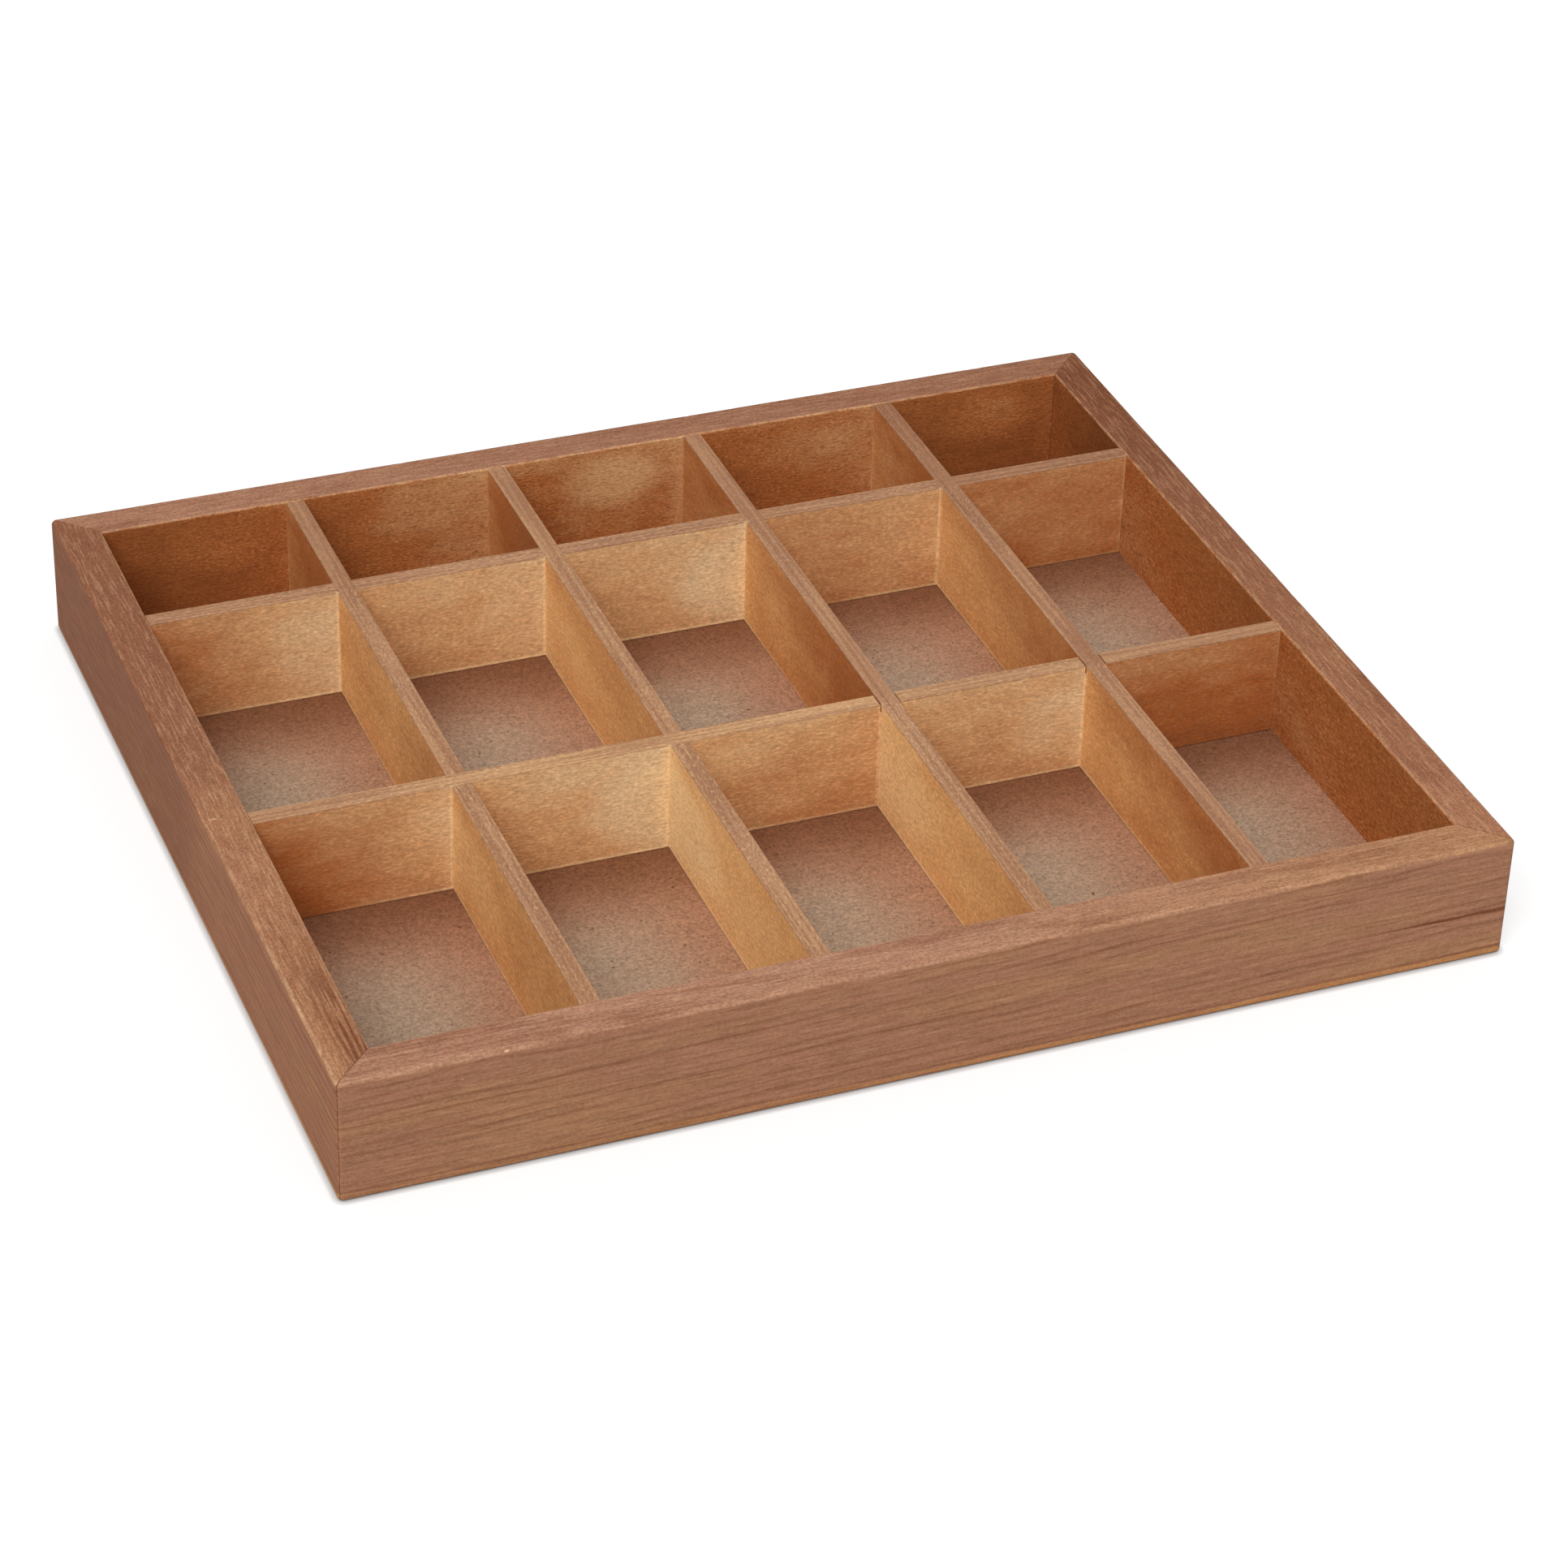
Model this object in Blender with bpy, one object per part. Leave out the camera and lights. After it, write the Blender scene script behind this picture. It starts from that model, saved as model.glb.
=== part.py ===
"""Open sorting box: a mitred frame of four rails round a grid of halved slats on a hardboard bottom.

The origin is the middle of the underside. +X runs to the right, +Y to the back and +Z up.
"""

import math

import bmesh
import bpy

# Frame, outside sizes in metres
FRAME_WIDTH = 0.400
FRAME_DEPTH = 0.350
FRAME_HEIGHT = 0.045
RAIL_THICKNESS = 0.015
CORNER_RADIUS = 0.0022
TOP_OUTER_RADIUS = 0.0018
TOP_INNER_RADIUS = 0.0008
FOOT_RADIUS = 0.0022

# Bottom board and the rebate that holds it
BOTTOM_THICKNESS = 0.003
BOTTOM_RECESS = 0.0002
BOTTOM_EDGE_RADIUS = 0.0003
REBATE_WIDTH = 0.0075

# Slats of the grid, and the compartments between them
SLAT_THICKNESS = 0.0065
SLAT_EDGE_RADIUS = 0.0005
RIM_DROP = 0.0003
COLUMNS = 5
END_COLUMN_WIDTH = 0.0676
FRONT_ROW_DEPTH = 0.127
BACK_ROW_DEPTH = 0.0585
COLUMNS_UNDER_FRONT_ROW = 2
CROSS_SLOT_DEPTH = 0.0206

# Clearances
JOINT_GAP = 0.0003
HALVING_GAP = 0.0003

# How finely rounds are drawn, which edges are eased or stay sharp (degrees), and when points count as one
ARC_STEPS = 5
EDGE_STEPS = 2
EASED_ANGLE = 40
SHARP_ANGLE = 35
SAME_POINT = 1e-7

# Colours are linear, with a roughness for each material
RAIL_COLOUR = (0.38, 0.19, 0.11)
SLAT_COLOUR = (0.46, 0.24, 0.12)
BOARD_COLOUR = (0.33, 0.21, 0.13)
WOOD_ROUGHNESS = 0.58
BOARD_ROUGHNESS = 0.72

# Levels and inside sizes that follow from the sizes above
INSIDE_WIDTH = FRAME_WIDTH - 2 * RAIL_THICKNESS
INSIDE_DEPTH = FRAME_DEPTH - 2 * RAIL_THICKNESS
BOARD_TOP = BOTTOM_RECESS + BOTTOM_THICKNESS
SEAT_LEVEL = BOARD_TOP + JOINT_GAP
SLAT_HEIGHT = FRAME_HEIGHT - RIM_DROP - SEAT_LEVEL


def clear_scene():
    for obj in list(bpy.data.objects):
        bpy.data.objects.remove(obj, do_unlink=True)


def arc(centre, radius, start, end):
    """Points of a round arris in the (inward, up) plane, with the angles in degrees."""
    points = []
    for step in range(ARC_STEPS + 1):
        angle = math.radians(start + (end - start) * step / ARC_STEPS)
        points.append((centre[0] + radius * math.cos(angle), centre[1] + radius * math.sin(angle)))
    return points


def rail_profile():
    """Cross-section of a rail as (inward, up) points, from the foot of its outer face round to the rebate."""
    foot = arc((FOOT_RADIUS, FOOT_RADIUS), FOOT_RADIUS, 270, 180)
    outer = arc((TOP_OUTER_RADIUS, FRAME_HEIGHT - TOP_OUTER_RADIUS), TOP_OUTER_RADIUS, 180, 90)
    inner_centre = (RAIL_THICKNESS - TOP_INNER_RADIUS, FRAME_HEIGHT - TOP_INNER_RADIUS)
    inner = arc(inner_centre, TOP_INNER_RADIUS, 90, 0)
    lip = RAIL_THICKNESS - REBATE_WIDTH
    rebate = [(RAIL_THICKNESS, SEAT_LEVEL), (lip, SEAT_LEVEL), (lip, 0.0)]
    return foot + outer + inner + rebate


def end_path(inward, length):
    """Where one profile point runs at a rail's end, as (along, inward) points up to the mitre plane.

    Points nearer the outer face than the corner radius turn with it. The others run straight to the mitre.
    """
    pull_back = JOINT_GAP / math.sqrt(2)
    half = length / 2 - pull_back
    if inward >= CORNER_RADIUS:
        return [(half - inward, inward)] * (ARC_STEPS + 1)
    radius = CORNER_RADIUS - inward
    path = []
    for step in range(ARC_STEPS + 1):
        turn = math.radians(45 * step / ARC_STEPS)
        path.append((half - CORNER_RADIUS + radius * math.sin(turn), CORNER_RADIUS - radius * math.cos(turn)))
    return path


def rail_mesh(name, length):
    """The profile run along a rail between its two mitres, with both outer corners rounded."""
    profile = rail_profile()
    paths = [end_path(inward, length) for inward, _ in profile]
    stations = [(step, -1) for step in reversed(range(ARC_STEPS + 1))]
    stations += [(step, 1) for step in range(ARC_STEPS + 1)]
    bm = bmesh.new()
    rings = []
    for step, side in stations:
        ring = []
        for path, (_, up) in zip(paths, profile):
            along, inward = path[step]
            ring.append(bm.verts.new((side * along, inward, up)))
        rings.append(ring)
    count = len(profile)
    for ring, following in zip(rings, rings[1:]):
        for i in range(count):
            j = (i + 1) % count
            bm.faces.new((ring[i], ring[j], following[j], following[i]))
    bm.faces.new(rings[0])
    bm.faces.new(rings[-1])
    bmesh.ops.remove_doubles(bm, verts=bm.verts, dist=SAME_POINT)
    bmesh.ops.dissolve_degenerate(bm, edges=bm.edges, dist=SAME_POINT)
    bmesh.ops.recalc_face_normals(bm, faces=bm.faces)
    return finished_mesh(bm, name)


def slat_edge(length, slots, level, slot_end):
    """One long edge of a slat from left to right, with the slots that are cut in from it."""
    half_slot = SLAT_THICKNESS / 2 + HALVING_GAP
    edge = [(-length / 2, level)]
    for centre in slots:
        edge += [(centre - half_slot, level), (centre - half_slot, slot_end)]
        edge += [(centre + half_slot, slot_end), (centre + half_slot, level)]
    edge.append((length / 2, level))
    return edge


def slat_outline(length, slots):
    """Side view of a slat as (along, up) points. Each slot is its centre, and whether this slat lies on top.

    The slat that lies on top has its slot cut from below, and the other slat has its slot cut from above.
    """
    from_below = [centre for centre, on_top in slots if on_top]
    from_above = [centre for centre, on_top in slots if not on_top]
    lower = slat_edge(length, from_below, 0.0, CROSS_SLOT_DEPTH)
    upper = slat_edge(length, from_above, SLAT_HEIGHT, CROSS_SLOT_DEPTH - HALVING_GAP)
    return lower + upper[::-1]


def slat_mesh(name, length, slots):
    """A slat's side view drawn out to its thickness, centred on the slat."""
    bm = bmesh.new()
    corners = [bm.verts.new((along, -SLAT_THICKNESS / 2, up)) for along, up in slat_outline(length, slots)]
    side = bm.faces.new(corners)
    drawn = bmesh.ops.extrude_face_region(bm, geom=[side])["geom"]
    moved = [item for item in drawn if isinstance(item, bmesh.types.BMVert)]
    bmesh.ops.translate(bm, verts=moved, vec=(0.0, SLAT_THICKNESS, 0.0))
    bmesh.ops.recalc_face_normals(bm, faces=bm.faces)
    return finished_mesh(bm, name)


def board_mesh(name):
    """The bottom board, which reaches into the rebate on all four sides."""
    reach = 2 * (REBATE_WIDTH - JOINT_GAP)
    bm = bmesh.new()
    bmesh.ops.create_cube(bm, size=1.0)
    bmesh.ops.scale(bm, vec=(INSIDE_WIDTH + reach, INSIDE_DEPTH + reach, BOTTOM_THICKNESS), verts=bm.verts)
    bmesh.ops.translate(bm, vec=(0.0, 0.0, BOTTOM_THICKNESS / 2), verts=bm.verts)
    return finished_mesh(bm, name)


def finished_mesh(bm, name):
    mesh = bpy.data.meshes.new(name)
    bm.to_mesh(mesh)
    bm.free()
    mesh.shade_smooth()
    mesh.set_sharp_from_angle(angle=math.radians(SHARP_ANGLE))
    return mesh


def material(name, colour, roughness):
    finish = bpy.data.materials.new(name)
    finish.use_nodes = True
    shader = finish.node_tree.nodes["Principled BSDF"]
    shader.inputs["Base Color"].default_value = (*colour, 1.0)
    shader.inputs["Roughness"].default_value = roughness
    shader.inputs["Metallic"].default_value = 0.0
    return finish


def place(mesh, parent, location, turn, colour, roughness):
    """Puts a mesh in the scene under its parent, turned by whole degrees about the vertical."""
    obj = bpy.data.objects.new(mesh.name, mesh)
    obj.location = location
    obj.rotation_euler = (0.0, 0.0, math.radians(turn))
    obj.parent = parent
    mesh.materials.append(material(mesh.name, colour, roughness))
    bpy.context.scene.collection.objects.link(obj)
    return obj


def ease_edges(obj, radius):
    bevel = obj.modifiers.new("eased_edges", "BEVEL")
    bevel.width = radius
    bevel.segments = EDGE_STEPS
    bevel.limit_method = "ANGLE"
    bevel.angle_limit = math.radians(EASED_ANGLE)


def slat_columns():
    """Centre of each front-to-back slat: the end columns have their own width, the others share the rest."""
    between = COLUMNS - 2
    slats = COLUMNS - 1
    shared = (INSIDE_WIDTH - 2 * END_COLUMN_WIDTH - slats * SLAT_THICKNESS) / between
    first = -INSIDE_WIDTH / 2 + END_COLUMN_WIDTH + SLAT_THICKNESS / 2
    return [first + i * (shared + SLAT_THICKNESS) for i in range(slats)]


def slat_rows():
    """Centre of the two side-to-side slats, front one first."""
    front = -INSIDE_DEPTH / 2 + FRONT_ROW_DEPTH + SLAT_THICKNESS / 2
    back = INSIDE_DEPTH / 2 - BACK_ROW_DEPTH - SLAT_THICKNESS / 2
    return [front, back]


def build_frame(root):
    sides = (
        ("front_rail", FRAME_WIDTH, (0.0, -FRAME_DEPTH / 2, 0.0), 0),
        ("right_rail", FRAME_DEPTH, (FRAME_WIDTH / 2, 0.0, 0.0), 90),
        ("back_rail", FRAME_WIDTH, (0.0, FRAME_DEPTH / 2, 0.0), 180),
        ("left_rail", FRAME_DEPTH, (-FRAME_WIDTH / 2, 0.0, 0.0), 270),
    )
    for name, length, location, turn in sides:
        place(rail_mesh(name, length), root, location, turn, RAIL_COLOUR, WOOD_ROUGHNESS)


def build_bottom(root):
    board = place(board_mesh("bottom_board"), root, (0.0, 0.0, BOTTOM_RECESS), 0, BOARD_COLOUR,
                  BOARD_ROUGHNESS)
    ease_edges(board, BOTTOM_EDGE_RADIUS)


def add_slat(root, name, length, slots, location, turn):
    slat = place(slat_mesh(name, length, slots), root, (*location, SEAT_LEVEL), turn, SLAT_COLOUR,
                 WOOD_ROUGHNESS)
    ease_edges(slat, SLAT_EDGE_RADIUS)


def build_grid(root):
    """The front-to-back slats lie over the side-to-side ones, except where the front row slat laps over them.

    The grid goes together in this order: the back row slat, the columns that the front row slat laps over,
    the front row slat, and the other columns.
    """
    columns = list(enumerate(slat_columns(), start=1))
    front_row, back_row = slat_rows()
    length = INSIDE_DEPTH - 2 * JOINT_GAP
    for number, centre in columns:
        slots = [(front_row, number > COLUMNS_UNDER_FRONT_ROW), (back_row, True)]
        add_slat(root, f"column_slat_{number}", length, slots, (centre, 0.0), 90)
    width = INSIDE_WIDTH - 2 * JOINT_GAP
    front_slots = [(centre, number <= COLUMNS_UNDER_FRONT_ROW) for number, centre in columns]
    back_slots = [(centre, False) for _, centre in columns]
    add_slat(root, "front_row_slat", width, front_slots, (0.0, front_row), 0)
    add_slat(root, "back_row_slat", width, back_slots, (0.0, back_row), 0)


def main():
    clear_scene()
    root = bpy.data.objects.new("sorting_box", None)
    bpy.context.scene.collection.objects.link(root)
    build_frame(root)
    build_bottom(root)
    build_grid(root)


main()
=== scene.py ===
"""Sorting box: a mitred hardwood tray with a cross-halved grid of slats over a hardboard bottom.

Everything is in metres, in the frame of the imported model: the origin is the middle of the underside,
+X points right, +Y back and +Z up.
"""
import math
import random
from typing import NamedTuple

import bmesh
import bpy
from bpy.props import FloatProperty, FloatVectorProperty, PointerProperty
from mathutils import Matrix, Vector, noise


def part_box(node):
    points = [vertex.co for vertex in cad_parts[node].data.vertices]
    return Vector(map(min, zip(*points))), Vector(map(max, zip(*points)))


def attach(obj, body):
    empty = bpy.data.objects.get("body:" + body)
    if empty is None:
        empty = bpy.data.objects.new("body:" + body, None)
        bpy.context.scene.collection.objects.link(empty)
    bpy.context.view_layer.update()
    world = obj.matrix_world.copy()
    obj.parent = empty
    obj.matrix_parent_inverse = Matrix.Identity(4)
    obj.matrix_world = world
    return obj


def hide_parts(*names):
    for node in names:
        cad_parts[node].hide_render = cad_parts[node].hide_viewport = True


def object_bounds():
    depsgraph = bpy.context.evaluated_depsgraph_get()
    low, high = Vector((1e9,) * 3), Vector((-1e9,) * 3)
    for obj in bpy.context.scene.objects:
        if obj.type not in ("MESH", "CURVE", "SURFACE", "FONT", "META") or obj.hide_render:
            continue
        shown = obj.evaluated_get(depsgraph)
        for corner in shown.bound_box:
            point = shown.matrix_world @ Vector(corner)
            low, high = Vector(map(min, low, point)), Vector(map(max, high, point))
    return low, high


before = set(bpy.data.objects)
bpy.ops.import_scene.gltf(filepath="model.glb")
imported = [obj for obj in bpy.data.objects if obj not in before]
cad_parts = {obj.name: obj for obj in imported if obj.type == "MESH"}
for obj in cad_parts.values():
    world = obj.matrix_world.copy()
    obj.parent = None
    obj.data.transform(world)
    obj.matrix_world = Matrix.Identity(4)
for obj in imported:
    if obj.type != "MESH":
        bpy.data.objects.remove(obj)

bl_info = {
    "name": "Sorting Box",
    "version": (1, 0, 0),
    "blender": (4, 5, 0),
    "location": "3D View > Sidebar > Sorting Box",
    "description": "Builds a mitred wooden sorting tray with an interlocking grid of slats",
    "category": "Add Mesh",
}

MM = 0.001
BODY = "root"
CAD_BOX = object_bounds()
BOX_LOW, BOX_HIGH = (Vector(corner) for corner in CAD_BOX)
WIDTH, DEPTH, HEIGHT = BOX_HIGH - BOX_LOW
COLUMN_NAMES = ("column_slat_1", "column_slat_2", "column_slat_3", "column_slat_4")
ROW_NAMES = ("front_row_slat", "back_row_slat")


def span(node, axis):
    """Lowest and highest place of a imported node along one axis."""
    low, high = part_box(node)
    return low[axis], high[axis]


def middle(node, axis):
    """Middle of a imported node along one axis."""
    return sum(span(node, axis)) / 2


RAIL_THICKNESS = span("front_rail", 1)[1] - span("front_rail", 1)[0]
SLAT_THICKNESS = span(COLUMN_NAMES[0], 0)[1] - span(COLUMN_NAMES[0], 0)[0]
SLAT_TOP = span(COLUMN_NAMES[0], 2)[1]
BOARD_TOP = span("bottom_board", 2)[1]
COLUMN_PLACES = [middle(name, 0) for name in COLUMN_NAMES]
ROW_PLACES = [middle(name, 1) for name in ROW_NAMES]
INNER_X = WIDTH / 2 - RAIL_THICKNESS
INNER_Y = DEPTH / 2 - RAIL_THICKNESS
REBATE = span("bottom_board", 0)[1] - INNER_X


def bays(places, inner):
    """Start and end of each compartment between two rails, for slats centred at the given places."""
    half = SLAT_THICKNESS / 2
    starts = [-inner] + [place + half for place in places]
    return list(zip(starts, [place - half for place in places] + [inner]))


COLUMN_BAYS = bays(COLUMN_PLACES, INNER_X)
ROW_BAYS = bays(ROW_PLACES, INNER_Y)

# How finely the rails are drawn, and when two points count as one
ARC_STEPS = 8
STATION = 1.6 * MM
SAME_POINT = 0.001 * MM
SHARP_ANGLE = 40.0
# Knocks and unevenness that handwork left on the rails' outer edges
KNOCKS = 10
KNOCK_DEPTH = (0.04 * MM, 0.14 * MM)
KNOCK_LENGTH = (0.5 * MM, 1.4 * MM)
KNOCK_SLOPE = 0.7
SWELL = 0.12
GIVE = 0.03 * MM
# Gloss, and depth of the pores and fibres, of the three finishes
RAIL_GLOSS, RAIL_RELIEF = 0.03, 0.06 * MM
SLAT_GLOSS, SLAT_RELIEF = 0.08, 0.05 * MM
BOARD_GLOSS, BOARD_RELIEF = 0.08, 0.12 * MM
SCREEN_PITCH = 1.1 * MM
COLUMNS_UNDER_FRONT_ROW = 2
MOUTH_SLOPE = 2.6


def size_property(name, description, millimetres):
    """A length that a user can change."""
    return FloatProperty(name=name, description=description, default=millimetres * MM, min=0.0,
                         subtype="DISTANCE", unit="LENGTH")


class SORTINGBOX_PG_sizes(bpy.types.PropertyGroup):
    """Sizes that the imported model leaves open, or draws coarser than the real piece."""
    corner_radius: size_property("Corner radius", "Rounding of the four upright corners", 1.8)
    top_radius: size_property("Outer top radius", "Rounding of the rails' outer top edge", 1.8)
    inner_radius: size_property("Inner top radius", "Rounding of the rails' inner top edge", 0.8)
    foot_radius: size_property("Foot radius", "Rounding of the rails' outer lower edge", 1.5)
    mitre_seam: size_property("Mitre seam", "Open seam between two rails at a corner", 0.08)
    joint_seam: size_property("Joint seam", "Open seam where a slat meets what it stands against", 0.04)
    slat_radius: size_property("Slat edge radius", "Rounding of the slats' long edges", 0.55)
    open_mouth: size_property("Open mouth", "How much wider the front slat's two open slots start", 1.2)
    slot_play: size_property("Slot play", "Play of a slat in the slot that crosses it", 0.06)
    eased: size_property("Eased edge", "Small rounding that is left on every cut edge", 0.09)


def colour_property(name, description, default):
    """A colour that a user can change."""
    return FloatVectorProperty(name=name, description=description, default=default, min=0.0, max=1.0, size=3,
                               subtype="COLOR")


class SORTINGBOX_PG_colours(bpy.types.PropertyGroup):
    """Colours of the finishes, in linear light."""
    rail: colour_property("Rail", "Stained hardwood of the frame", (0.40, 0.17, 0.085))
    rail_gold: colour_property("Rail, golden", "Yellower patches of the frame's wood", (0.46, 0.22, 0.09))
    # Pinkish tone of the rails; on their tops partly a painted sheen
    rail_pink_and_sheen: colour_property("Rail, top", "Pinkish tops of the rails", (0.475, 0.25, 0.163))
    # Darker brown that the rails' darker ends, streaks and checks and the slats' darker top ends are mixed
    # towards
    rail_deep: colour_property("Rail, deep", "Parts of the frame that took more stain", (0.19, 0.064, 0.029))
    rail_dark: colour_property("Rail, growth lines", "Dark growth lines of the frame", (0.22, 0.075, 0.035))
    # Painted shadow of the darkest walls inside, and the colour of the dark flecks on the rails' inner faces
    wall_shadow_and_fleck: colour_property("Wall, dark", "Darkest stain of the walls inside", (0.16, 0.043, 0.014))
    # Deep orange of the walls inside, painted shade where they lie in shadow
    wall: colour_property("Wall, deep", "Deep orange stain of the walls inside", (0.455, 0.15, 0.042))
    slat: colour_property("Slat", "Wood of the slats", (0.725, 0.42, 0.198))
    # Lit gold of the walls: painted light, with random yellower patches
    slat_gold: colour_property("Slat, golden", "Yellower patches of the walls", (0.81, 0.60, 0.35))
    slat_warm: colour_property("Slat, warm", "Wood of the slats that run front to back", (0.82, 0.44, 0.17))
    # Lit gold of the front-to-back slats' walls: painted light, with random yellower patches
    gold_warm: colour_property("Slat, warm gold", "Yellower patches of those slats", (0.95, 0.62, 0.29))
    slat_top: colour_property("Slat, top", "Pinkish tops and flecks of the slats", (0.41, 0.209, 0.116))
    # Pale glue lines, and also the colour of painted highlights: the cream of the brightest walls and the
    # pale lines on lit faces
    glue_and_highlight: colour_property("Glue line", "Pale golden glue lines and thin edges", (0.96, 0.71, 0.39))
    # Also the painted highlight on the slats' lit edges
    wear_and_highlight: colour_property("Worn edge", "Where the stain has rubbed off the edges", (0.78, 0.50, 0.29))
    # Painted warm bounce light from the floor on the rails' rounded lower edge
    foot: colour_property("Foot edge", "Warm lower edge of the frame", (0.58, 0.26, 0.095))
    board: colour_property("Hardboard", "Pinkish brown hardboard bottom", (0.41, 0.21, 0.125))
    # Painted shade of the board along the walls
    board_painted_shade: colour_property("Hardboard, edges", "Stain that ran onto the board", (0.19, 0.078, 0.036))
    # Painted light: the greyer, lighter tone of the board towards the front left of each compartment
    board_painted_light: colour_property("Hardboard, greyish", "Cooler patches of the hardboard", (0.43, 0.31, 0.215))
    board_speck: colour_property("Hardboard, specks", "Dark specks of the hardboard", (0.07, 0.035, 0.02))


class Wire:
    """A socket of a node tree. Arithmetic on it adds Math nodes."""

    def __init__(self, build, socket):
        self.build = build
        self.socket = socket

    def maths(self, operation, *values):
        return self.build.node("ShaderNodeMath", {"operation": operation}, dict(enumerate(values)))

    def __add__(self, other):
        return self.maths("ADD", self, other)

    def __radd__(self, other):
        return self.maths("ADD", other, self)

    def __sub__(self, other):
        return self.maths("SUBTRACT", self, other)

    def __rsub__(self, other):
        return self.maths("SUBTRACT", other, self)

    def __mul__(self, other):
        return self.maths("MULTIPLY", self, other)

    def __rmul__(self, other):
        return self.maths("MULTIPLY", other, self)

    def __truediv__(self, other):
        return self.maths("DIVIDE", self, other)

    def __pow__(self, other):
        return self.maths("POWER", self, other)

    def __neg__(self):
        return self.maths("MULTIPLY", self, -1.0)

    def __abs__(self):
        return self.maths("ABSOLUTE", self)

    def least(self, other):
        return self.maths("MINIMUM", self, other)

    def most(self, other):
        return self.maths("MAXIMUM", self, other)

    def fraction(self):
        return self.maths("FRACT", self)

    def rising(self, low, high):
        """0 below low, 1 above high, with a soft step between them."""
        step = {0: self, 1: low, 2: high, 3: 0.0, 4: 1.0}
        return self.build.node("ShaderNodeMapRange", {"interpolation_type": "SMOOTHSTEP"}, step)

    def falling(self, low, high):
        """1 below low, 0 above high, with a soft step between them."""
        return 1.0 - self.rising(low, high)


class Tree:
    """Writes one node tree: node() adds a node by its type, its settings and what its sockets get."""

    def __init__(self, tree):
        self.tree = tree
        tree.nodes.clear()

    def node(self, kind, settings=None, sockets=None, output=0):
        made = self.tree.nodes.new(kind)
        made.location = (200.0 * (len(self.tree.nodes) % 12), -220.0 * (len(self.tree.nodes) // 12))
        for key, value in (settings or {}).items():
            setattr(made, key, value)
        for key, value in (sockets or {}).items():
            if isinstance(value, Wire):
                self.tree.links.new(value.socket, made.inputs[key])
            elif made.inputs[key].type == "RGBA" and len(value) == 3:
                made.inputs[key].default_value = (*value, 1.0)
            else:
                made.inputs[key].default_value = value
        return Wire(self, made.outputs[output]) if len(made.outputs) else made

    def mix(self, factor, first, second, blend="MIX"):
        """Mixes two colours."""
        settings = {"data_type": "RGBA", "blend_type": blend, "clamp_factor": True}
        return self.node("ShaderNodeMix", settings, {0: factor, 6: first, 7: second}, output=2)

    def shaded(self, colour, level):
        """A colour made lighter or darker by a level around 1."""
        return self.mix(1.0, colour, self.grey(level), "MULTIPLY")

    def grey(self, level):
        return self.node("ShaderNodeCombineColor", None, {0: level, 1: level, 2: level})

    def vector(self, x, y, z):
        return self.node("ShaderNodeCombineXYZ", None, {0: x, 1: y, 2: z})

    def apart(self, place):
        """The three numbers of a vector."""
        first = self.node("ShaderNodeSeparateXYZ", None, {0: place})
        return [Wire(self, socket) for socket in first.socket.node.outputs]

    def spots(self, place, size, detail=2.0, roughness=0.5, shift=(0.0, 0.0, 0.0)):
        """Noise whose spots are about size across, in metres along each axis."""
        scale = [1.0 / length for length in size]
        stretched = self.node("ShaderNodeMapping", {"vector_type": "POINT"},
                              {"Vector": place, "Location": shift, "Scale": scale})
        return self.node("ShaderNodeTexNoise", {"noise_dimensions": "3D"},
                         {"Vector": stretched, "Scale": 1.0, "Detail": detail, "Roughness": roughness})

    def surface(self, colour, roughness, height, depth, gloss):
        """A shader with a bump of the given depth, led to the material's output."""
        bump = self.node("ShaderNodeBump", None, {"Strength": 1.0, "Distance": depth, "Height": height})
        finish = {"Base Color": colour, "Roughness": roughness, "Normal": bump, "Specular IOR Level": gloss}
        shader = self.node("ShaderNodeBsdfPrincipled", None, finish)
        self.node("ShaderNodeOutputMaterial", None, {"Surface": shader})


def add_object(name, data):
    """A new object in the scene."""
    made = bpy.data.objects.new(name, data)
    bpy.context.scene.collection.objects.link(made)
    return made


def new_material(name):
    """A material and the writer of its nodes."""
    made = bpy.data.materials.new(name)
    made.use_nodes = True
    return made, Tree(made.node_tree)


def grain_space(tree, turn):
    """Object coordinates turned so that X runs along the grain, and their three numbers."""
    place = tree.node("ShaderNodeTexCoord", None, None, output="Object")
    turned = tree.node("ShaderNodeMapping", {"vector_type": "POINT"},
                       {"Vector": place, "Rotation": (0.0, 0.0, -math.radians(turn))})
    return turned, *tree.apart(turned)


def growth_lines(tree, place, along, across, up, heart, climb, spacing, seed):
    """Dark lines of a log's yearly growth. heart is the log's middle in the section, climb its slope."""
    wander = tree.spots(place, (0.11, 0.02, 0.02), 2.0, 0.5, (seed, 0.0, 0.0)) - 0.5
    shiver = tree.spots(place, (0.014, 0.004, 0.004), 1.0, 0.5, (seed, 3.0, 0.0)) - 0.5
    side = across - heart[0]
    rise = up - heart[1] - along * climb
    radius = (side * side + rise * rise) ** 0.5 + wander * (9.0 * MM) + shiver * (0.9 * MM)
    phase = (radius / spacing).fraction()
    fine = (radius / (spacing * 0.43)).fraction()
    strength = tree.spots(place, (0.09, 0.006, 0.006), 2.0, 0.5, (0.0, seed, 0.0)).rising(0.25, 0.65)
    broken = tree.spots(place, (0.07, 0.0020, 0.0020), 1.5, 0.5, (0.0, 0.0, seed)).rising(0.25, 0.55)
    coarse = phase.rising(0.35, 0.8) * phase.falling(0.84, 1.0)
    return (coarse * strength + fine.rising(0.4, 0.9) * 0.15) * broken


class WallLook(NamedTuple):
    """Painted light and shade of a wall. levels gives for each compartment its painted level, the painted
    shading that it gains from one end to the other, and its painted glow. rise is the painted shading that
    the wall gains from foot to rim. glow is where the painted glow lies in a compartment, along and up, and
    how far it reaches."""
    levels: tuple
    rise: float
    cloudy: float
    glow: tuple = (0.92, 0.50, 0.40, 0.45)


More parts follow.
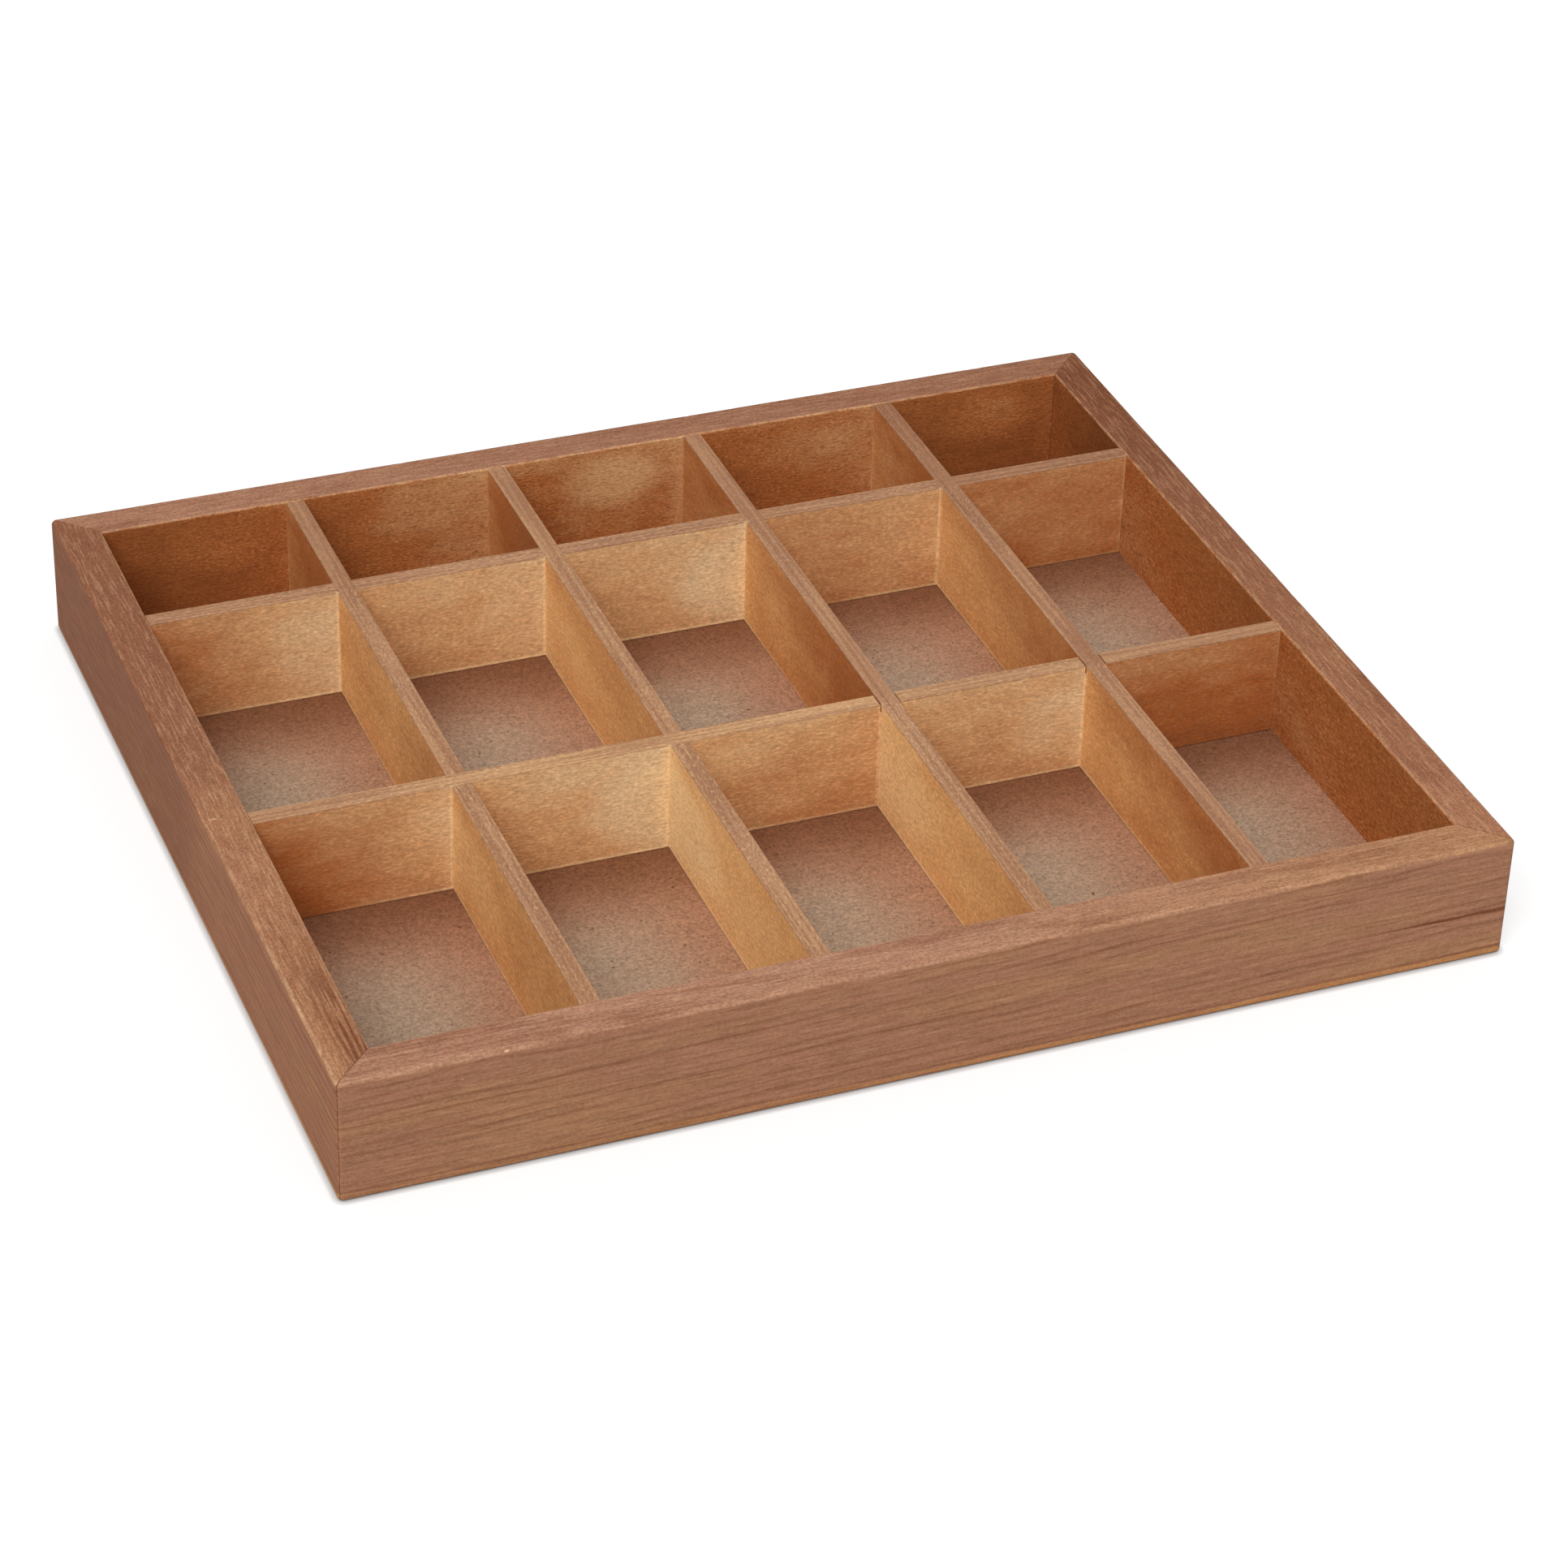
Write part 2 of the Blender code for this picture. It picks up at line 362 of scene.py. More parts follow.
def painted_wall_light(tree, place, along, up, spans, look, seed):
    """Painted light and shade of a wall, over random clouds of tone: how far it goes from painted shadow, -1,
    over deep orange painted shade, 0, to lit gold, 1, and on to a cream painted highlight.
    """
    clouds = tree.spots(place, (0.034, 0.015, 0.015), 2.0, 0.5, (seed, seed, 0.0))
    height = up / HEIGHT
    patches = tree.spots(place, (0.011, 0.0035, 0.0035), 1.0, 0.5, (seed, 4.0, seed))
    # Random clouds of tone, and painted shading from foot to rim
    gold = (clouds - 0.5) * look.cloudy + (patches - 0.5) * (0.4 * look.cloudy) + (height - 0.5) * look.rise
    middle_share, middle_height, half_share, half_height = look.glow
    aside = (height - middle_height) / half_height
    # Painted light and shade per compartment: a level, a gradient from one end to the other, and a painted
    # glow with a brighter strip at the end
    for (start, end), (level, sweep, glow) in zip(spans, look.levels):
        share = (along - start) / (end - start)
        inside = share.rising(-0.02, 0.0) * share.falling(1.0, 1.02)
        beside = (share - middle_share) / half_share
        spot = (beside * beside + aside * aside).falling(0.0, 1.0)
        lit = (spot + share.rising(0.88, 1.0) * 0.6) * glow
        gold = gold + inside * (share * sweep + lit + (level - sweep / 2))
    return gold


def wall_colour(tree, gold, warm):
    """Colour of a wall inside the box for a level of painted light and shade, from painted shadow over deep
    orange shade and lit gold to a cream painted highlight. warm walls are yellower.
    """
    colours = bpy.context.scene.sorting_box_colours
    usual, golden = (colours.slat_warm, colours.gold_warm) if warm else (colours.slat, colours.slat_gold)
    # Painted shadow below the deep orange painted shade
    colour = tree.mix(gold + 1.0, colours.wall_shadow_and_fleck, colours.wall)
    colour = tree.mix(gold * 1.6, colour, usual)
    colour = tree.mix(gold * 2.0 - 1.2, colour, golden)
    # Cream painted highlight on the brightest parts of the walls
    return tree.mix(gold * 2.0 - 2.2, colour, colours.glue_and_highlight)


def wavy_flecks(tree, place, size, seed):
    """Short wavy flecks along the grain, as on beech, with a coarser and a finer size."""
    ripple = tree.spots(place, (0.004, 0.002, 0.002), 1.0, 0.5, (0.0, 0.0, seed)) - 0.5
    lift = tree.vector(0.0, ripple * (0.8 * MM), ripple * (0.8 * MM))
    wavy = tree.node("ShaderNodeVectorMath", {"operation": "ADD"}, {0: place, 1: lift})
    coarse = tree.spots(wavy, (3.8 * size, 0.72 * size, 0.72 * size), 0.7, 0.5, (seed, 0.0, 0.0))
    fine = tree.spots(wavy, (1.9 * size, 0.56 * size, 0.56 * size), 0.4, 0.5, (0.0, seed, 0.0))
    return coarse, fine


class RailLook(NamedTuple):
    """What sets one rail's wood apart. dusk (how dark), rubbed (how far its outer edge is rubbed) and gilt
    (how golden its top) are levels at its two ends, left to right seen from outside. step is how much darker
    it is left of a place, and that place. pale is how pinkish its top and its outer face are; on the top this
    is partly a painted sheen. checks are streaks of the outer face, nicks are its knocks, marks are those of
    the top. walls is the painted light and shade of its inner face."""
    turn: float
    seed: float
    heart: tuple
    climb: float
    gold: float
    pale: tuple
    dusk: tuple
    rubbed: tuple
    flecked: float
    walls: WallLook
    step: tuple = (0.0, 0.0)
    streaked: float = 0.0
    gilt: tuple = (0.0, 0.0)
    checks: tuple = ()
    nicks: tuple = ()
    marks: tuple = ()


def slope(pair, along, half_length):
    """A level that runs evenly from the first value at one end of a rail to the second at the other."""
    return along * ((pair[1] - pair[0]) / (2 * half_length)) + sum(pair) / 2


def rail_material(name, look, half_length, half_depth):
    """Stained hardwood: growth lines, fibres, pores, flecks, rubbed edges, painted warm bounce light on the
    lower edge, and orange inner walls with painted light and shade.
    """
    colours = bpy.context.scene.sorting_box_colours
    material, tree = new_material(name)
    seed = look.seed
    place, along, across, up = grain_space(tree, look.turn)
    inward = across + half_depth
    lines = growth_lines(tree, place, along, across, up, look.heart, look.climb, 3.3 * MM, seed)
    coarse, fine = wavy_flecks(tree, place, 0.75 * MM, seed)
    fibres = tree.spots(place, (0.016, 0.0009, 0.0009), 1.0, 0.5, (seed, seed, 0.0))
    pores = tree.spots(place, (0.0045, 0.0006, 0.0006), 0.8, 0.5, (0.0, seed, seed))
    dashes = tree.spots(place, (0.0085, 0.0007, 0.0007), 0.6, 0.5, (seed, 6.0, seed))
    mottle = tree.spots(place, (0.0011, 0.0008, 0.0008), 0.6, 0.5, (seed, 0.0, seed))
    clouds = tree.spots(place, (0.09, 0.011, 0.011), 1.0, 0.5, (seed, 2.0, 0.0))
    flat = (HEIGHT - up).falling(0.6 * MM, 1.6 * MM)
    colour = tree.mix(clouds.rising(0.55 - look.gold, 0.85 - look.gold), colours.rail, colours.rail_gold)
    # Paler and pinker top, partly a painted sheen, and a pinkish outer face
    colour = tree.mix(flat * (look.pale[0] - look.pale[1]) + look.pale[1], colour, colours.rail_pink_and_sheen)
    colour = tree.mix(slope(look.gilt, along, half_length) * flat, colour, colours.rail_gold)
    # Darker towards one end of the rail, and left of a place
    darker, where = look.step
    dusk = slope(look.dusk, along, half_length) + along.falling(where - 20 * MM, where + 20 * MM) * darker
    colour = tree.mix(dusk + (clouds - 0.5) * 0.15, colour, colours.rail_deep)
    colour = tree.mix(lines * 0.48, colour, colours.rail_dark)
    colour = tree.mix(pores.rising(0.54, 0.76) * 0.2, colour, colours.rail_dark)
    flecked = 0.08 + look.flecked * flat
    colour = tree.mix(dashes.rising(0.50, 0.70) * flecked, colour, colours.wear_and_highlight)
    colour = tree.mix(dashes.falling(0.30, 0.50) * flecked, colour, colours.rail_dark)
    streaks = along.rising(half_length - 0.095, half_length - 0.025) * inward.rising(3 * MM, 10 * MM) * flat
    furrows = tree.spots(place, (0.022, 0.0011, 0.0011), 0.6, 0.5, (0.0, seed, 4.0))
    furrowed = (furrows.rising(0.42, 0.58) * 0.7 + 0.25) * streaks * look.streaked
    colour = tree.mix(furrowed, colour, colours.rail_deep)
    for start, end, level, width, strength in look.checks:
        wander = (tree.spots(place, (0.012, 0.004, 0.004), 2.0, 0.5, (seed, 9.0, 0.0)) - 0.5) * (1.2 * MM)
        reach = along.rising(start, end) * along.falling(end, end + 6 * MM)
        near = abs(up - level + wander) / (reach * 0.8 + 0.2)
        streak = near.falling(width * 0.3, width) * reach.rising(0.0, 0.5)
        streak = streak * inward.falling(2.0 * MM, 4.0 * MM) * strength
        colour = tree.mix(streak, colour, colours.rail_deep)
    way = 1.0 if look.turn in (0, 90) else -1.0
    spans = COLUMN_BAYS if look.turn % 180 == 0 else ROW_BAYS
    spans = [(way * start, way * end) for start, end in spans]
    # Inner face: painted light and shade of the walls, with dark and pale flecks
    gold = painted_wall_light(tree, place, along, up, spans, look.walls, seed)
    wall = wall_colour(tree, gold, False)
    wall = tree.mix(coarse.rising(0.46, 0.72) * 0.36, wall, colours.wall_shadow_and_fleck)
    pale_flecks = fine.rising(0.52, 0.72) * (gold.rising(-0.5, 0.5) * 0.38 + 0.04)
    wall = tree.mix(pale_flecks, wall, colours.slat)
    inside = (RAIL_THICKNESS - inward).falling(0.1 * MM, 0.5 * MM)
    colour = tree.mix(inside, colour, wall)
    edge_noise = tree.spots(place, (0.006, 0.003, 0.003), 3.0, 0.6, (seed, 5.0, 0.0))
    outer = (inward + (HEIGHT - up)).falling(1.0 * MM, 1.5 * MM)
    inner = ((RAIL_THICKNESS - inward) + (HEIGHT - up)).falling(0.4 * MM, 0.9 * MM)
    rubbed = slope(look.rubbed, along, half_length).most(0.0).least(1.0) * outer + inner * 0.35
    colour = tree.mix(rubbed * edge_noise.rising(0.25, 0.65), colour, colours.wear_and_highlight)
    for spot, level, length, width in look.nicks:
        shape = (abs(along - spot) / length).most(abs(up - level) / width)
        nick = shape.falling(0.5, 1.1) * inward.falling(5.0 * MM, 5.2 * MM) * 0.75
        colour = tree.mix(nick, colour, colours.wear_and_highlight)
    for spot, inset, length, width in look.marks:
        shape = (abs(along - spot) / length).most(abs(inward - inset) / width)
        colour = tree.mix(shape.falling(0.5, 1.1) * flat * 0.6, colour, colours.wear_and_highlight)
    wave = (tree.spots(place, (0.05, 0.01, 0.01), 1.0, 0.5, (seed, 0.0, 7.0)) - 0.5) * (1.4 * MM)
    height = up + wave
    outside = inward.falling(2.2 * MM, 2.6 * MM)
    # Painted warm bounce light on the rounded lower edge, stronger towards the right
    warmth = along.rising(-half_length, half_length) * 0.5 + 0.25
    band = height.falling(2.3 * MM, 3.1 * MM) * outside
    colour = tree.mix(band * warmth, colour, colours.foot)
    edge_line = abs(height - 3.4 * MM).falling(0.15 * MM, 0.7 * MM) * outside
    colour = tree.mix(edge_line * 0.4, colour, colours.rail_dark)
    seam = abs(half_length - abs(along) - inward)
    seam_noise = tree.spots(place, (0.0016, 0.0016, 0.0016), 2.0, 0.5, (seed, 0.0, 0.0))
    colour = tree.mix(seam.falling(0.1 * MM, 0.5 * MM) * 0.55, colour, colours.rail_dark)
    chipped = seam.falling(0.3 * MM, 0.9 * MM) * seam_noise.rising(0.62, 0.72) * 0.7
    colour = tree.mix(chipped, colour, colours.wear_and_highlight)
    grain = inside * fine + (1.0 - inside) * fibres
    shade = 1.0 + (grain - 0.5) * (0.5 - flat * 0.15) + (mottle - 0.5) * (0.5 + flat * 0.35)
    colour = tree.shaded(colour, shade)
    roughness = 0.46 + 0.2 * mottle + 0.08 * fibres
    relief = 0.5 * fibres + 0.4 * mottle + 0.3 * coarse - 0.6 * pores.rising(0.58, 0.72) - 0.3 * lines
    tree.surface(colour, roughness, relief, RAIL_RELIEF, RAIL_GLOSS)
    return material


class SlatLook(NamedTuple):
    """What sets one slat's wood apart. pale is how pale its top is, all along and around one place. dusk is
    where its top starts to darken, where it is darkest, and how dark it gets there."""
    walls: WallLook
    pale: tuple
    dusk: tuple


def slat_material(name, turn, centre, spans, seed, lit_side, look):
    """Wood with fine wavy flecks, walls with painted light and shade from golden to deep orange and pale
    painted highlight lines, and a pale to pinkish top.
    """
    colours = bpy.context.scene.sorting_box_colours
    material, tree = new_material(name)
    place, along, across, up = grain_space(tree, turn)
    coarse, fine = wavy_flecks(tree, place, MM, seed)
    mottle = tree.spots(place, (0.0011, 0.0008, 0.0008), 0.6, 0.5, (0.0, seed, seed))
    half = SLAT_THICKNESS / 2
    side = (across - centre) * lit_side
    face = side.rising(half - 0.3 * MM, half - 0.05 * MM)
    # Walls: painted light and shade, per compartment
    gold = painted_wall_light(tree, place, along, up, spans, look.walls, seed)
    colour = wall_colour(tree, gold, lit_side > 0)
    top = (SLAT_TOP - up).falling(0.2 * MM, 0.6 * MM)
    top_tone = tree.spots(place, (0.05, 0.05, 0.05), 1.0, 0.5, (seed, 8.0, 3.0)).rising(0.35, 0.65)
    pale = abs(along + 35 * MM).falling(0.02, 0.14) * look.pale[1] + look.pale[0]
    top_colour = tree.mix(0.97 - pale - 0.15 * top_tone, colours.slat, colours.slat_top)
    start, darkest, strength = look.dusk
    top_colour = tree.mix(along.rising(start, darkest) * strength, top_colour, colours.rail_deep)
    colour = tree.mix(top, colour, top_colour)
    lengthwise = tree.spots(place, (0.06, 0.0016, 0.0016), 0.6, 0.5, (seed, 1.0, 5.0))
    colour = tree.mix(lengthwise.rising(0.42, 0.60) * top * 0.38, colour, colours.rail_dark)
    colour = tree.mix(coarse.rising(0.46, 0.72) * 0.24, colour, colours.slat_top)
    colour = tree.mix(fine.rising(0.54, 0.74) * gold.rising(-0.2, 0.8) * 0.17, colour, colours.glue_and_highlight)
    edge_noise = tree.spots(place, (0.006, 0.002, 0.002), 2.0, 0.6, (seed, 4.0, 0.0)).rising(0.25, 0.6)
    # Worn edges, partly painted highlight: the edge on the lit side is made paler than the other
    arris = ((half - abs(side)) + (SLAT_TOP - up)).falling(0.45 * MM, 0.8 * MM)
    wear_and_highlight = arris * edge_noise * (0.04 + 0.10 * side.rising(0.0, 0.1 * MM))
    colour = tree.mix(wear_and_highlight, colour, colours.wear_and_highlight)
    # Partly glue, partly painted highlight: pale lines at the wall's foot and at its corners, only on the lit
    # face and where the wall is lit gold
    glue_highlight_mask = gold.rising(-0.2, 1.0) * face
    foot = (up - BOARD_TOP).falling(1.0 * MM, 1.8 * MM) * glue_highlight_mask
    colour = tree.mix(foot * (0.65 + 0.35 * edge_noise), colour, colours.glue_and_highlight)
    for _, corner in spans:
        line = (corner - along).falling(0.5 * MM, 1.3 * MM) * (corner - along).rising(-0.2 * MM, 0.0) * glue_highlight_mask
        colour = tree.mix(line * (0.25 + 0.5 * edge_noise), colour, colours.glue_and_highlight)
    shade = 1.0 + (fine - 0.5) * (0.52 - 0.07 * top) + 0.5 * (mottle - 0.5)
    colour = tree.shaded(colour, shade)
    roughness = 0.5 + 0.2 * mottle
    relief = 0.5 * coarse + 0.5 * fine + 0.3 * mottle
    tree.surface(colour, roughness, relief, SLAT_RELIEF, SLAT_GLOSS)
    return material


def board_material():
    """Hardboard: pink and brown fibres, a greyer painted light towards the front left and painted shade along
    the back walls, specks, and a screen's print below.
    """
    colours = bpy.context.scene.sorting_box_colours
    material, tree = new_material("pressed_hardboard")
    place = tree.node("ShaderNodeTexCoord", None, None, output="Object")
    along, across, up = tree.apart(place)
    clouds = tree.spots(place, (0.03, 0.03, 0.03), 2.0, 0.5, (7.0, 1.0, 0.0))
    grains = tree.spots(place, (0.0009, 0.0009, 0.0009), 1.0, 0.5, (0.0, 3.0, 1.0))
    fibres = tree.spots(place, (0.0022, 0.0009, 0.0009), 0.6, 0.5, (4.0, 3.0, 1.0))
    specks = tree.spots(place, (0.0013, 0.0013, 0.0013), 0.0, 0.5, (1.0, 0.0, 9.0))
    rare = tree.spots(place, (0.012, 0.012, 0.012), 1.0, 0.5, (1.0, 5.0, 9.0)).rising(0.48, 0.60)
    colour = colours.board
    under = up.falling(0.4 * MM, 1.0 * MM)
    upper = 1.0 - under
    # Painted light, broken by random clouds: a greyer, lighter tone towards the front left of each
    # compartment, on the upper face only
    forward = 0.0
    for front, back in ROW_BAYS:
        away = back - across
        inside = away.falling(back - front, back - front + 2.0 * MM)
        forward = away.rising(4.0 * MM, 60.0 * MM) * inside + forward
    for left, right in COLUMN_BAYS:
        share = (along - left) / (right - left)
        inside = share.rising(-0.02, 0.0) * share.falling(1.0, 1.02)
        painted_front_light = share.falling(0.35, 1.1) + (clouds - 0.5) * 0.5
        colour = tree.mix(painted_front_light * inside * forward * upper, colour, colours.board_painted_light)
    # Painted shade along the back wall of each compartment, with a ragged edge, on the upper face only
    for front, back in ROW_BAYS:
        away = back - across
        inside = away.rising(-0.5 * MM, 0.0) * away.falling(back - front, back - front + 2.0 * MM)
        ragged = away + (clouds - 0.5) * (10.0 * MM)
        painted_back_shade = ragged.falling(-4.0 * MM, 44.0 * MM) * inside * upper * 0.9
        colour = tree.mix(painted_back_shade, colour, colours.board_painted_shade)
    shade = 1.0 + 1.15 * (grains - 0.5) + 0.3 * (fibres - 0.5)
    colour = tree.shaded(colour, shade)
    colour = tree.mix(specks.rising(0.78, 0.82) * rare * 0.7, colour, colours.board_speck)
    screen = ((along / SCREEN_PITCH).fraction() - 0.5) * ((across / SCREEN_PITCH).fraction() - 0.5)
    relief = 0.25 * grains + 0.25 * fibres + under * abs(screen) * 6.0
    roughness = 0.62 + 0.2 * grains
    tree.surface(colour, roughness, relief, BOARD_RELIEF, BOARD_GLOSS)
    return material


def arc(centre, radius, start, end):
    """Points of an arc in the section, from one angle in degrees to another."""
    points = []
    for step in range(ARC_STEPS + 1):
        angle = math.radians(start + (end - start) * step / ARC_STEPS)
        points.append((centre[0] + radius * math.cos(angle), centre[1] + radius * math.sin(angle)))
    return points


def between(first, last, count):
    """Points between two points of the section, without the two themselves."""
    return [tuple(a + (b - a) * step / (count + 1) for a, b in zip(first, last))
            for step in range(1, count + 1)]


def rail_section(sizes, foot, top):
    """Section of a rail as (inward, up), from the lower outer edge over the top to the rebate."""
    lower = arc((foot, foot), foot, 270, 180)
    outer = arc((top, HEIGHT - top), top, 180, 90)
    inner = arc((RAIL_THICKNESS - sizes.inner_radius, HEIGHT - sizes.inner_radius), sizes.inner_radius, 90, 0)
    seat = BOARD_TOP + sizes.joint_seam
    lip = RAIL_THICKNESS - REBATE - sizes.joint_seam
    face = between(lower[-1], outer[0], 7)
    top_face = between(outer[-1], inner[0], 3)
    wall = between(inner[-1], (RAIL_THICKNESS, seat), 5)
    return lower + face + outer + top_face + inner + wall + [(RAIL_THICKNESS, seat), (lip, seat), (lip, 0.0)]


def knock_depth(knocks, along):
    """How deep the knocks go at one place along the rail."""
    return sum(depth * math.exp(-((along - spot) / length) ** 2) for spot, depth, length in knocks)


def rail_point(sizes, half, inward, up, step, stations):
    """Place of one section point at one station: straight between the corners, round at the corners."""
    reach = max(inward, sizes.corner_radius)
    pull = sizes.mitre_seam / math.sqrt(2)
    straight = half - reach - pull
    if abs(step) <= stations:
        return Vector((straight * step / stations, inward, up))
    side = math.copysign(1.0, step)
    radius = max(0.0, sizes.corner_radius - inward)
    turn = math.radians(45.0 * (abs(step) - stations) / ARC_STEPS)
    if radius == 0.0:
        return Vector((side * straight, inward, up))
    along = straight + radius * math.sin(turn)
    return Vector((side * along, sizes.corner_radius - radius * math.cos(turn), up))


def rail_mesh(name, length, seed):
    """A rail with hand-eased edges, small knocks along the outer edge, a rebate and a mitre at each end."""
    sizes = bpy.context.scene.sorting_box_sizes
    draw = random.Random(seed)
    half = length / 2
    stations = round(half / STATION)
    knocks = [(draw.uniform(-half, half), draw.uniform(*KNOCK_DEPTH), draw.uniform(*KNOCK_LENGTH))
              for _ in range(KNOCKS)]
    bm = bmesh.new()
    rings = []
    for step in range(-stations - ARC_STEPS, stations + ARC_STEPS + 1):
        fade = min(1.0, max(0.0, (1.0 - abs(step) / stations) * 8.0))
        along = half * step / stations
        swell = noise.noise(Vector((along * 30.0, seed, 0.0))) * fade
        wider = 1.0 + SWELL * swell
        section = rail_section(sizes, sizes.foot_radius * wider, sizes.top_radius * wider)
        knock = knock_depth(knocks, along) * fade
        ring = []
        for number, (inward, up) in enumerate(section):
            place = rail_point(sizes, half, inward, up, step, stations)
            ripple = noise.noise(Vector((along * 45.0, number * 0.21, seed + 5.0))) + 0.5
            give = GIVE * max(0.0, ripple) * fade
            near_edge = max(0.0, 1.0 - ((inward + HEIGHT - up) - 1.0 * MM) / (1.6 * MM))
            if inward < RAIL_THICKNESS / 2:
                place.y += give + knock * min(1.0, near_edge) * KNOCK_SLOPE
                place.z -= knock * min(1.0, near_edge) * KNOCK_SLOPE
            ring.append(bm.verts.new(place))
        rings.append(ring)
    for first, second in zip(rings, rings[1:]):
        for number in range(len(first)):
            after = (number + 1) % len(first)
            bm.faces.new((first[number], first[after], second[after], second[number]))
    bm.faces.new(rings[0])
    bm.faces.new(list(reversed(rings[-1])))
    bmesh.ops.remove_doubles(bm, verts=bm.verts, dist=2 * SAME_POINT)
    bmesh.ops.recalc_face_normals(bm, faces=bm.faces)
    mesh = bpy.data.meshes.new(name)
    bm.to_mesh(mesh)
    bm.free()
    return mesh


def finish_piece(name, mesh, material, node, eased):
    """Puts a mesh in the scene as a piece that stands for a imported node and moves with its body."""
    piece = add_object(name, mesh)
    mesh.materials.clear()
    mesh.materials.append(material)
    mesh.shade_smooth()
    mesh.set_sharp_from_angle(angle=math.radians(SHARP_ANGLE))
    bevel = piece.modifiers.new("eased_edges", "BEVEL")
    bevel.width = eased
    bevel.segments = 2
    bevel.limit_method = "ANGLE"
    bevel.angle_limit = math.radians(SHARP_ANGLE)
    weld = piece.modifiers.new("joined_points", "WELD")
    weld.merge_threshold = SAME_POINT
    weighted = piece.modifiers.new("flat_faces", "WEIGHTED_NORMAL")
    weighted.keep_sharp = True
    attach(piece, BODY)
    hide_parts(node)
    return piece


# Looks of the four rails; walls gives the painted light and shade of each inner face
RAILS = {
    "front_rail": RailLook(
        turn=0, seed=3, heart=(-0.150, -0.100), climb=0.030, gold=0.14, pale=(0.75, 0.45),
        dusk=(0.06, 0.02), rubbed=(0.10, 0.14), flecked=0.06, gilt=(-0.55, 0.60),
        walls=WallLook(((0.1, 0.0, 0.0),) * 5, 0.2, 0.7),
        checks=((0.135, 0.202, 18.3 * MM, 1.2 * MM, 0.85), (0.092, 0.157, 38.6 * MM, 0.8 * MM, 0.35)),
        nicks=((-0.1460, 44.3 * MM, 0.9 * MM, 0.3 * MM), (-0.1602, 37.3 * MM, 0.4 * MM, 0.3 * MM))),
    "right_rail": RailLook(
        turn=90, seed=11, heart=(-0.180, -0.090), climb=-0.020, gold=0.00, pale=(0.25, 0.10),
        dusk=(0.03, 1.05), rubbed=(0.15, 0.10), flecked=0.08,
        walls=WallLook(((-0.03, -0.08, 0.1), (-0.10, 0.32, 0.02), (-0.54, 0.33, 0.12)), -0.17, 0.4)),
    "back_rail": RailLook(
        turn=180, seed=19, heart=(-0.150, -0.110), climb=0.015, gold=0.02, pale=(0.65, 0.30),
        dusk=(0.52, 0.22), rubbed=(0.1, 0.1), flecked=0.06,
        walls=WallLook(((-0.32, 0.50, 0.15), (0.03, 0.62, 0.10), (0.08, 0.10, 0.45), (0.01, 0.24, 0.06),
                        (-0.33, 0.0, 0.32)), 0.22, 0.6, (0.6, 0.7, 0.35, 0.3))),
    "left_rail": RailLook(
        turn=270, seed=27, heart=(-0.185, -0.080), climb=0.025, gold=0.04, pale=(0.34, 0.12),
        dusk=(0.36, 0.03), step=(0.34, 0.010), rubbed=(-0.95, 0.70), flecked=0.10, streaked=0.95,
        walls=WallLook(((0.0, 0.0, 0.0),) * 3, 0.2, 0.7), gilt=(-0.40, 0.45),
        marks=((0.0270, 3.5 * MM, 0.5 * MM, 1.8 * MM),)),
}


class SORTINGBOX_OT_rails(bpy.types.Operator):
    """Adds the four mitred rails of the frame"""
    bl_idname = "sorting_box.rails"
    bl_label = "Mitred Rails"

    def execute(self, context):
        sizes = context.scene.sorting_box_sizes
        for name, look in RAILS.items():
            length, depth = (WIDTH, DEPTH) if look.turn % 180 == 0 else (DEPTH, WIDTH)
            mesh = rail_mesh(name, length, look.seed)
            spin = Matrix.Rotation(math.radians(look.turn), 4, "Z")
            mesh.transform(spin @ Matrix.Translation((0.0, -depth / 2, BOX_LOW.z)))
            material = rail_material(f"rail_wood_{look.turn}", look, length / 2, depth / 2)
            finish_piece(f"dressed_{name}", mesh, material, name, sizes.eased)
        return {"FINISHED"}


SLAT_INPUTS = (
    ("Length", "NodeSocketFloat"),
    ("Height", "NodeSocketFloat"),
    ("Thickness", "NodeSocketFloat"),
    ("Edge Radius", "NodeSocketFloat"),
    ("Foot Radius", "NodeSocketFloat"),
    ("First Crossing", "NodeSocketFloat"),
    ("Crossing Pitch", "NodeSocketFloat"),
    ("Crossings", "NodeSocketInt"),
    ("Odd Crossings", "NodeSocketInt"),
    ("Slots From Below", "NodeSocketBool"),
    ("Slot Width", "NodeSocketFloat"),
    ("Mouth Width", "NodeSocketFloat"),
    ("Mouth Depth", "NodeSocketFloat"),
    ("Slot Depth", "NodeSocketFloat"),
    ("Place", "NodeSocketVector"),
    ("Turn", "NodeSocketFloat"),
    ("Material", "NodeSocketMaterial"),
)


def slot_cutters(tree, given, points, width, depth, below, chosen):
    """Boxes that cut the chosen slots, from below or from above."""
    size = tree.vector(width, given["Thickness"] * 2.0, depth * 2.0)
    cube = tree.node("GeometryNodeMeshCube", None, {"Size": size})
    level = (1.0 - below) * given["Height"]
    lift = tree.vector(0.0, 0.0, level)
    placed = tree.node("GeometryNodeTransform", None, {"Geometry": cube, "Translation": lift})
    return tree.node("GeometryNodeInstanceOnPoints", None,
                     {"Points": points, "Selection": chosen, "Instance": placed})


